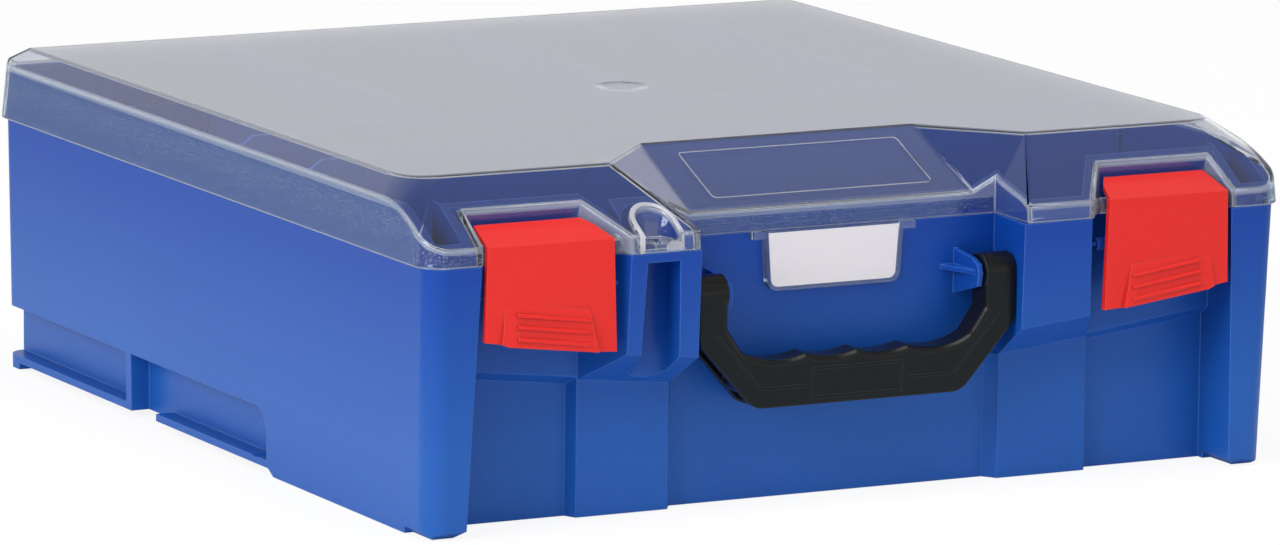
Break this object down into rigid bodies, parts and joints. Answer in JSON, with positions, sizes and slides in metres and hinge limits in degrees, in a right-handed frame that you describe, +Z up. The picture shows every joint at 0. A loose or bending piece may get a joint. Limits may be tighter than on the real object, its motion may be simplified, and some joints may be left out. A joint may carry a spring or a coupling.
{
  "type": "saw blade storage case",
  "caption": "Latching storage case for circular saw blades, with a hinged see-through lid, drop handle, label pocket and inner dividers.",
  "frame": {"origin": "centre of the flat underside that the case stands on", "axes": "+X to the right of a person facing the front, the front with its latches and handle faces -Y, +Z is up"},
  "size_m": [0.36, 0.3955, 0.128],
  "materials": {
    "case_blue": "satin moulded polypropylene",
    "lid_clear": "clear moulded polycarbonate",
    "latch_red": "satin moulded plastic",
    "handle_black": "satin moulded plastic",
    "label_card": "uncoated card",
    "pin_steel": "drawn wire"
  },
  "bodies": {
    "case": {"case_shell": "case_blue", "divider_front": "case_blue", "divider_rear": "case_blue", "divider_cross_left": "case_blue", "divider_cross_middle": "case_blue", "divider_cross_right": "case_blue", "hinge_pin_right": "pin_steel", "hinge_pin_left": "pin_steel"},
    "lid": {"lid_shell": "lid_clear", "label_holder": "lid_clear", "label_card": "label_card"},
    "latch_right": {"latch_right": "latch_red"},
    "latch_left": {"latch_left": "latch_red"},
    "handle": {"handle": "handle_black"}
  },
  "joints": [
    {"name": "lid_hinge", "type": "hinge", "parent": "case", "child": "lid", "pos_m": [0, 0.1952, 0.096], "axis": [-1, 0, 0], "range_deg": [0, 100]},
    {"name": "latch_right_hinge", "type": "hinge", "parent": "lid", "child": "latch_right", "pos_m": [0.129, -0.1875, 0.1035], "axis": [-1, 0, 0], "range_deg": [0, 90]},
    {"name": "latch_left_hinge", "type": "hinge", "parent": "lid", "child": "latch_left", "pos_m": [-0.129, -0.1875, 0.1035], "axis": [-1, 0, 0], "range_deg": [0, 90]},
    {"name": "handle_hinge", "type": "hinge", "parent": "case", "child": "handle", "pos_m": [0.0012, -0.1801, 0.081], "axis": [-1, 0, 0], "range_deg": [0, 175]}
  ]
}
